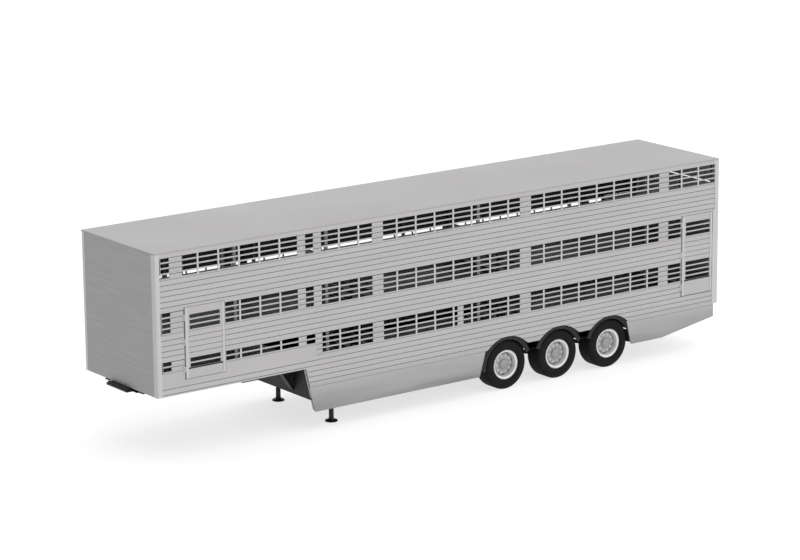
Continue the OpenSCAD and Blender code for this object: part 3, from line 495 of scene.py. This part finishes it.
bays, bottomBays = grille["bays"], grille["bays"] + [grille["lowBay"]]
startX, stepX = grilleLow.x, alongX(side["neckStep"])
frontRoom, rearRoom = doorRooms["front"], doorRooms["rear"]
middle, bottom = (rows["middleTop"], rows["middleLow"]), (rows["bottomTop"], rows["bottomLow"])
overNeck = (rows["bottomTop"], rows["neckLow"])
makeGrilles("top_grilles", [(startX, plankRear, 0, rows["topLow"], bays)])
makeGrilles("middle_grilles", [(startX, frontRoom[0], *middle, bays),
                               (frontRoom[1], rearRoom[0], *middle, bays)])
makeGrilles("bottom_grilles", [(startX, frontRoom[0], *overNeck, bays),
                               (frontRoom[1], stepX, *overNeck, bays),
                               (stepX, rearRoom[0], *bottom, bottomBays)])
print("grilles made")


# side doors

door = {
    "hingeStrip": 0.064, "setback": 0.008, "edgeStrip": 0.050, "windowFront": 0.102,
    "windowRear": {"front": 0.096, "rear": 0.060}, "lastRow": {"front": "neckLow", "rear": "bottomLow"},
    "knuckle": 0.008, "knuckleGap": 0.0002, "knuckleHeight": 0.060, "hingeGap": 0.020, "hingeLow": 0.150,
    "hingeHigh": 0.210, "hingeSet": 0.0004, "hingeLap": 0.012, "lap": 0.004, "bevel": 0.001,
    "plankSet": 0.005, "sheetSet": 0.03, "railHeight": 0.030, "stripBevel": 0.002, "frameSet": 0.001,
}


def makeDoor(node, where, mirrored):
    low, high = doors[where]
    x0, x1 = low.x + door["hingeGap"] / 2 + door["knuckle"], high.x
    z0, z1, y, deep = low.z, high.z, -outerY, -innerY
    half, lap, edge = side["groove"] / 2, door["lap"], door["bevel"]
    windowX0, windowX1 = x0 + door["windowFront"], x1 - door["windowRear"][where]
    stripX0, stripX1 = x0 + door["hingeStrip"], x1 - door["edgeStrip"]
    middleTop, middleLow, bottomTop = rows["middleTop"], rows["middleLow"], rows["bottomTop"]
    lastRow = rows[door["lastRow"][where]]
    bm = bmesh.new()
    addBox(bm, (x0, y, rowZ(middleTop + 1)), (x1, deep, z1), edge, 1)
    addBox(bm, (x0, y, z0), (x1, deep, rowZ(lastRow) + door["railHeight"]), edge, 1)
    for k in range(middleLow, bottomTop):
        addBox(bm, (stripX0 - lap, y, rowZ(k + 1) + half),
               (stripX1 + lap, deep - door["plankSet"], rowZ(k) - half), side["plankBevel"])
    for top, bottom in ((middleTop + 1, middleLow), (bottomTop, lastRow)):
        for a, b in ((x0, windowX0), (windowX1, x1)):
            addBox(bm, (a, y, rowZ(bottom)), (b, deep, rowZ(top)))
        for k in range(top, bottom):
            z = rowZ(k + 1)
            addBox(bm, (windowX0 - lap, y, z + grille["slatLift"]),
                   (windowX1 + lap, y + grille["depth"], z + grille["slatHeight"]), grille["bevel"])
    for a, b in ((x0, stripX0), (stripX1, x1)):
        addBox(bm, (a, y + door["frameSet"], rowZ(bottomTop)), (b, deep, rowZ(middleLow)))
    addBox(bm, (x0 + door["sheetSet"], deep - lap, rowZ(bottomTop)),
           (x1 - door["sheetSet"], deep, rowZ(middleLow)))
    hingeX, hingeY, tall = low.x + door["knuckle"], -halfWidth + door["knuckle"], door["knuckleHeight"]
    for z in (z0 + door["hingeLow"], (z0 + z1) / 2, z1 - door["hingeHigh"]):
        addTube(bm, (hingeX, hingeY, z), (hingeX, hingeY, z + tall), door["knuckle"] - door["knuckleGap"])
        addBox(bm, (hingeX, -halfWidth + door["hingeSet"], z), (x0 + door["hingeLap"], y, z + tall), edge, 1)
    strips = bmesh.new()
    for a, b in ((x0 + door["setback"], stripX0), (stripX1, x1)):
        addBox(strips, (a, -halfWidth, z0), (b, y + lap, z1), door["stripBevel"])
    for part, shape, material in (("leaf", bm, "side_aluminium"), ("strips", strips, "trim_aluminium")):
        if mirrored:
            mirrorAcross(shape)
        finishPiece(makeObject(f"{node}_{part}", shape), node, mats[material])


for where in doors:
    makeDoor(f"left_{where}_door", where, False)
    makeDoor(f"right_{where}_door", where, True)
print("side doors made")


# wheels

tyre = {"treadGrooves": (0.032, 0.098), "grooveWidth": 0.012, "grooveDepth": 0.013, "grooveFloor": 0.7,
        "notchDepth": 0.006, "notchInset": 0.0015, "notchNear": 0.021, "notchFar": 0.002, "notchWidth": 0.036,
        "segments": 96}
tyreLow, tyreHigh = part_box("left_front_tyre")
tyreR, tyreHalf = (tyreHigh.z - tyreLow.z) / 2, (tyreHigh.y - tyreLow.y) / 2
tyreY = -(tyreLow.y + tyreHigh.y) / 2
rimR = 0.285


def tyreProfile():
    # from the bead over the wall's rings and the shoulder to the tread's middle
    wall = [(rimR, 0.150), (rimR + 0.006, 0.157), (rimR + 0.014, 0.160), (rimR + 0.030, tyreHalf - 0.018),
            (rimR + 0.041, tyreHalf - 0.013), (rimR + 0.046, tyreHalf - 0.009),
            (rimR + 0.054, tyreHalf - 0.009), (rimR + 0.058, tyreHalf - 0.0115),
            (rimR + 0.078, tyreHalf - 0.005), (rimR + 0.100, tyreHalf - 0.0015), (rimR + 0.104, tyreHalf),
            (rimR + 0.113, tyreHalf), (rimR + 0.117, tyreHalf - 0.0015), (tyreR - 0.072, tyreHalf - 0.003),
            (tyreR - 0.052, tyreHalf - 0.007), (tyreR - 0.046, tyreHalf - 0.006),
            (tyreR - 0.038, tyreHalf - 0.011), (tyreR - 0.022, tyreHalf - 0.022),
            (tyreR - 0.010, tyreHalf - 0.030), (tyreR - 0.003, tyreHalf - 0.040), (tyreR, tyreHalf - 0.052)]
    tread = []
    for centre in sorted(tyre["treadGrooves"], reverse=True):
        w, d = tyre["grooveWidth"] / 2, tyre["grooveDepth"]
        floor = w * tyre["grooveFloor"]
        tread += [(tyreR, centre + w), (tyreR - d, centre + floor), (tyreR - d, centre - floor),
                  (tyreR, centre - w)]
    half = wall + tread
    inside = [(rimR, 0.120), (rimR + 0.030, 0.140), (rimR + 0.115, tyreHalf - 0.020), (tyreR - 0.038, 0.140)]
    return (half + [(r, -d) for r, d in reversed(half)] + [(r, -d) for r, d in inside]
            + [(tyreR - 0.026, 0)] + list(reversed(inside)))


def makeTyre(node, x, sideSign):
    bm = bmesh.new()
    addSpin(bm, tyreProfile(), (x, sideSign * tyreY, tyreR), "Y", tyre["segments"])
    # every other face round the shoulder is sunk as a tread notch
    shoulder = []
    for f in bm.faces:
        c = f.calc_center_median()
        radius, off = math.hypot(c.x - x, c.z - tyreR), abs(c.y - sideSign * tyreY)
        step = math.floor((math.atan2(c.z - tyreR, c.x - x) % math.tau) / math.tau * tyre["segments"])
        onShoulder = tyreR - tyre["notchNear"] < radius < tyreR - tyre["notchFar"]
        if onShoulder and off > tyreHalf - tyre["notchWidth"] and step % 2:
            shoulder.append(f)
    bmesh.ops.recalc_face_normals(bm, faces=bm.faces)
    bmesh.ops.inset_individual(bm, faces=shoulder, thickness=tyre["notchInset"], depth=-tyre["notchDepth"])
    obj = makeObject(node + "_cover", bm)
    smoothFaces(obj, 32)
    finishPiece(obj, node, mats["tyre_rubber"])


rim = {"handHoles": 10, "holeRadius": 0.019, "holeCircle": 0.215, "holeFrom": 0.02, "holeTo": 0.12,
       "nuts": 10, "nutCircle": 0.1675, "nutRadius": 0.016, "washer": 0.004, "nutTop": 0.022,
       "studTop": 0.030, "nutTaper": 0.9, "stud": 0.6, "disc": 0.088, "discThick": 0.013,
       "seatGap": 0.0004, "segments": 96}


def makeRim(node, x, sideSign):
    centre, seat, face, thick = (0, 0, 0), rimR - rim["seatGap"], rim["disc"], rim["discThick"]
    bm = bmesh.new()
    addSpin(bm, [(0.118, face), (0.196, face), (0.204, face - 0.003), (0.238, face - 0.020),
                 (seat - 0.038, face - 0.024), (seat - 0.038, face - 0.024 - thick),
                 (0.236, face - 0.020 - thick),
                 (0.202, face - thick), (0.118, face - thick)], centre, "Y", rim["segments"])
    disc = makeObject(node + "_disc", bm)
    bm = bmesh.new()
    for i in range(rim["handHoles"]):
        angle = (i + 0.5) * math.tau / rim["handHoles"]
        px, pz = rim["holeCircle"] * math.cos(angle), rim["holeCircle"] * math.sin(angle)
        addTube(bm, (px, rim["holeFrom"], pz), (px, rim["holeTo"], pz), rim["holeRadius"], 20)
    carve(disc, bm)
    barrel = bmesh.new()
    edge = [(seat + 0.014, 0.170), (seat + 0.014, 0.163), (seat + 0.009, 0.1585), (seat, 0.1505),
            (seat, 0.112), (seat - 0.020, 0.060)]
    bore = [(seat - 0.044, 0.062), (seat - 0.040, 0.108), (seat - 0.036, 0.138), (seat - 0.030, 0.155),
            (seat - 0.018, 0.164), (seat + 0.001, 0.170)]
    addSpin(barrel, edge + [(r, -d) for r, d in reversed(edge)] + [(r, -d) for r, d in bore] + bore[::-1],
            centre, "Y", rim["segments"])
    hub = bmesh.new()
    addSpin(hub, [(0.001, -0.070), (0.140, -0.070), (0.140, 0.030), (0.124, 0.050), (0.124, face + 0.004),
                  (0.116, face + 0.008), (0.098, face + 0.010), (0.094, face + 0.024), (0.088, face + 0.034),
                  (0.074, face + 0.041), (0.050, face + 0.045), (0.001, face + 0.046)], centre, "Y", 48)
    nuts = bmesh.new()
    for i in range(rim["nuts"]):
        angle = i * math.tau / rim["nuts"]
        px, pz = rim["nutCircle"] * math.cos(angle), rim["nutCircle"] * math.sin(angle)
        washerY, nutY, studY = face + rim["washer"], face + rim["nutTop"], face + rim["studTop"]
        r = rim["nutRadius"]
        addTube(nuts, (px, face - 0.001, pz), (px, washerY, pz), r + rim["washer"], 16)
        addTube(nuts, (px, washerY, pz), (px, nutY, pz), r, 6, r * rim["nutTaper"])
        addTube(nuts, (px, nutY, pz), (px, studY, pz), r * rim["stud"], 12)
    # the disc and hub take the darker painted-shade copies of the silver
    parts = [(disc, "shadedWheelDisc"), (makeObject(node + "_barrel", barrel), "wheel_silver"),
             (makeObject(node + "_hub", hub), "shadedHubCap"), (makeObject(node + "_nuts", nuts), "wheel_silver")]
    for obj, material in parts:
        if sideSign < 0:
            turnOver(obj)
        obj.data.transform(Matrix.Translation((x, sideSign * tyreY, tyreR)))
        smoothFaces(obj, 30)
        finishPiece(obj, node, mats[material])


for sideName, sideSign in (("left", -1), ("right", 1)):
    for x, k in zip(axleX, axleNames):
        makeTyre(f"{sideName}_{k}_tyre", x, sideSign)
        makeRim(f"{sideName}_{k}_rim", x, sideSign)
print("wheels made")


# mudguards: a lip round each arch, a flap at each end and the wall behind the wheels

guard = {"lip": 0.085, "lipThick": 0.008, "sheet": 0.005, "flapLow": 0.450, "flapTurn": 25, "lipTurn": 20,
         "wallLow": 0.640, "wallGap": 0.004, "tyreGap": 0.012, "steps": 40}
guardOuter = axleX[0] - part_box("mudguards")[0].x


def arcOutline(x, near, far, start, end):
    steps = guard["steps"]
    turns = [math.radians(start + (end - start) * i / steps) for i in range(steps + 1)]
    return ([(x + far * math.cos(a), tyreR + far * math.sin(a)) for a in turns]
            + [(x + near * math.cos(a), tyreR + near * math.sin(a)) for a in reversed(turns)])


def makeGuards():
    face, inside = -innerY + guard["wallGap"], -(tyreY - tyreHalf - guard["tyreGap"])
    near = guardOuter - guard["sheet"]
    lowTurn = math.degrees(math.asin((guard["flapLow"] - tyreR) / guardOuter))
    bm = bmesh.new()
    starts = (guard["lipTurn"], guard["lipTurn"], lowTurn)
    for x, start, end in zip(axleX, starts, reversed(starts)):
        addPlate(bm, arcOutline(x, near, guardOuter + guard["lip"], start, 180 - end),
                 face, face + guard["lipThick"])
    flaps = ((axleX[-1], lowTurn, guard["flapTurn"]), (axleX[0], 180 - guard["flapTurn"], 180 - lowTurn))
    for x, start, end in flaps:
        addPlate(bm, arcOutline(x, near, guardOuter, start, end), face, inside)
    addBox(bm, (axleX[0] - near, inside, guard["wallLow"]),
           (axleX[-1] + near, inside + guard["sheet"], skirtZ))
    copyAcross(bm)
    finishPiece(makeObject("mudguards_shadeLining", bm), "mudguards", mats["chassis_black"])


makeGuards()
print("mudguards made")


# air springs stretch between the trailer and their axle

spring = {"neck": 0.7, "foot": 0.036, "shoulder": 0.024, "cap": 0.014, "segments": 48}
springLow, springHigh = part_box("air_springs")
springR = (springHigh.x - springLow.x - (axleX[-1] - axleX[0])) / 2


def makeSprings(axle, x):
    low, top, r, bulge = springLow.z, springHigh.z, springR, spring["shoulder"]
    foot, cap, neck = low + spring["foot"], top - spring["cap"], springR * spring["neck"]
    bm = bmesh.new()
    for y in (springLow.y + r, springHigh.y - r):
        addSpin(bm, [(0.001, low), (neck, low), (neck, foot - 0.004), (neck + 0.010, foot),
                     (r - 0.008, foot + 0.008), (r, foot + bulge), (r, cap - bulge), (r - 0.008, cap - 0.008),
                     (neck + 0.010, cap), (neck, cap + 0.004), (neck, top), (0.001, top)],
                (x, y, 0), "Z", spring["segments"])
    obj = makeObject(f"{axle}_springs", bm)
    smoothFaces(obj)
    obj.data.materials.append(mats["bellows_rubber"])
    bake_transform(obj)
    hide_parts("air_springs")


springAhead = springLow.x + springR - axleX[0]
for x, k in zip(axleX, axleNames):
    makeSprings(f"{k}_axle", x + springAhead)
print("air springs made")


# structural nodes get softened edges on a merged copy

softened = {
    "roof_panel": 0.004, "roof_rails": 0.002, "front_posts": 0.003, "rear_frame": 0.003, "side_skirts": 0.005,
    "front_wall": 0.004, "lamp_beam": 0.004, "neck_bulkhead": 0.002, "coupling_plate": 0.004,
    "leg_housings": 0.005, "hanger_brackets": 0.002, "chassis_rails": 0.003, "cross_members": 0.003,
    "side_posts": 0.002, "lift_columns": 0.003, "mudguards": 0.0015, "leg_crank": 0.003,
    "front_lower_gate": 0.004, "rear_lower_gate": 0.004, "front_upper_gate": 0.004, "rear_upper_gate": 0.004,
    "left_top_door": 0.002, "right_top_door": 0.002, "rear_ramp": 0.002, "middle_deck": 0.002,
    "upper_deck": 0.002, "front_axle": 0.003, "middle_axle": 0.003, "rear_axle": 0.003,
}


merging = {"gap": 0.0001, "flatTurn": 1, "smoothTurn": 32}


def makeSoftened(node, width):
    bm = bmesh.new()
    bm.from_mesh(nodes[node].data)
    bmesh.ops.remove_doubles(bm, verts=bm.verts, dist=merging["gap"])
    flat = math.radians(merging["flatTurn"])
    bmesh.ops.dissolve_limit(bm, angle_limit=flat, verts=bm.verts, edges=bm.edges)
    mesh = bpy.data.meshes.new(node + "_soft")
    bm.to_mesh(mesh)
    bm.free()
    obj = bpy.data.objects.new(node + "_soft", mesh)
    bpy.context.collection.objects.link(obj)
    smoothFaces(obj, merging["smoothTurn"])
    softenEdges(obj, width)
    finishPiece(obj, node, mats[nodeSlots[node]])


for node, width in softened.items():
    makeSoftened(node, width)
print("structure softened")


# landing legs: stepped columns on domed feet

leg = {"waist": 0.040, "flare": 0.0475, "segments": 48}


def makeLeg(sideName):
    low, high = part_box(f"{sideName}_leg")
    footLow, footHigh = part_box(f"{sideName}_foot")
    centre = ((low.x + high.x) / 2, (low.y + high.y) / 2, 0)
    r, waist, flare, top = (high.x - low.x) / 2, leg["waist"], leg["flare"], high.z
    f, footTop = (footHigh.x - footLow.x) / 2, footHigh.z
    bm = bmesh.new()
    addSpin(bm, [(0.001, footTop), (flare, footTop), (flare, 0.235), (flare - 0.001, 0.25), (waist, 0.275),
                 (waist, 0.600), (r, 0.62), (r, top), (0.001, top)], centre, "Z", leg["segments"])
    obj = makeObject(f"{sideName}_leg_column", bm)
    smoothFaces(obj)
    finishPiece(obj, f"{sideName}_leg", mats["chassis_black"])
    bm = bmesh.new()
    addSpin(bm, [(0.001, 0), (f - 0.010, 0), (f - 0.003, 0.003), (f, 0.010), (f - 0.002, 0.018),
                 (f - 0.008, 0.025), (f - 0.022, 0.031), (f - 0.045, 0.036), (0.064, 0.041), (0.056, 0.048),
                 (0.0535, 0.056), (0.052, footTop), (0.001, footTop)], centre, "Z", leg["segments"])
    obj = makeObject(f"{sideName}_foot_dome", bm)
    smoothFaces(obj)
    finishPiece(obj, f"{sideName}_foot", mats["chassis_black"])


for sideName in ("left", "right"):
    makeLeg(sideName)
print("legs made")

# camera, floor and light

camera = {"place": (-35.404, -47.833, 16.949), "ahead": (0.57389, 0.78277, -0.24066), "roll": 0.506,
          "lens": 140.42, "sensor": 36, "farthest": 2000}
studio = {"floorSize": 600, "floorColour": 0.42, "floorRough": 0.95, "floorGlow": 0.70, "skyBright": 1.38,
          "skyDark": 0.12, "fadeFrom": -0.85, "fadeTo": 0.15}


def makeCamera():
    data = bpy.data.cameras.new("studioCamera")
    data.lens = camera["lens"]
    data.sensor_width = camera["sensor"]
    data.clip_end = camera["farthest"]
    cam = bpy.data.objects.new("studioCamera", data)
    bpy.context.collection.objects.link(cam)
    turn = Vector(camera["ahead"]).to_track_quat("-Z", "Y").to_matrix().to_4x4()
    roll = Matrix.Rotation(math.radians(-camera["roll"]), 4, "Z")
    cam.matrix_world = Matrix.Translation(camera["place"]) @ turn @ roll
    bpy.context.scene.camera = cam


def makeStudio():
    bm = bmesh.new()
    bmesh.ops.create_grid(bm, x_segments=1, y_segments=1, size=studio["floorSize"] / 2)
    mesh = bpy.data.meshes.new("studioFloor")
    bm.to_mesh(mesh)
    bm.free()
    floor = bpy.data.objects.new("studioFloor", mesh)
    bpy.context.collection.objects.link(floor)
    mat = bpy.data.materials.new("paleFloor")
    mat.use_nodes = True
    shader = mat.node_tree.nodes["Principled BSDF"]
    shader.inputs["Base Color"].default_value = (*[studio["floorColour"]] * 3, 1)
    shader.inputs["Roughness"].default_value = studio["floorRough"]
    shader.inputs["Specular IOR Level"].default_value = 0
    shader.inputs["Emission Color"].default_value = (1, 1, 1, 1)
    shader.inputs["Emission Strength"].default_value = studio["floorGlow"]
    mesh.materials.append(mat)
    world = bpy.data.worlds.new("studioWorld")
    bpy.context.scene.world = world
    world.use_nodes = True
    tree = world.node_tree
    coords = tree.nodes.new("ShaderNodeTexCoord")
    split = tree.nodes.new("ShaderNodeSeparateXYZ")
    fade = tree.nodes.new("ShaderNodeMapRange")
    fade.inputs["From Min"].default_value = studio["fadeFrom"]
    fade.inputs["From Max"].default_value = studio["fadeTo"]
    fade.inputs["To Min"].default_value = studio["skyDark"]
    fade.inputs["To Max"].default_value = studio["skyBright"]
    link(tree, coords.outputs["Generated"], split.inputs["Vector"])
    link(tree, split.outputs["X"], fade.inputs["Value"])
    link(tree, fade.outputs["Result"], tree.nodes["Background"].inputs["Strength"])
    tree.nodes["Background"].inputs["Color"].default_value = (1, 1, 1, 1)


makeCamera()
makeStudio()
bpy.context.scene.view_settings.view_transform = "Standard"
print("camera and studio ready")
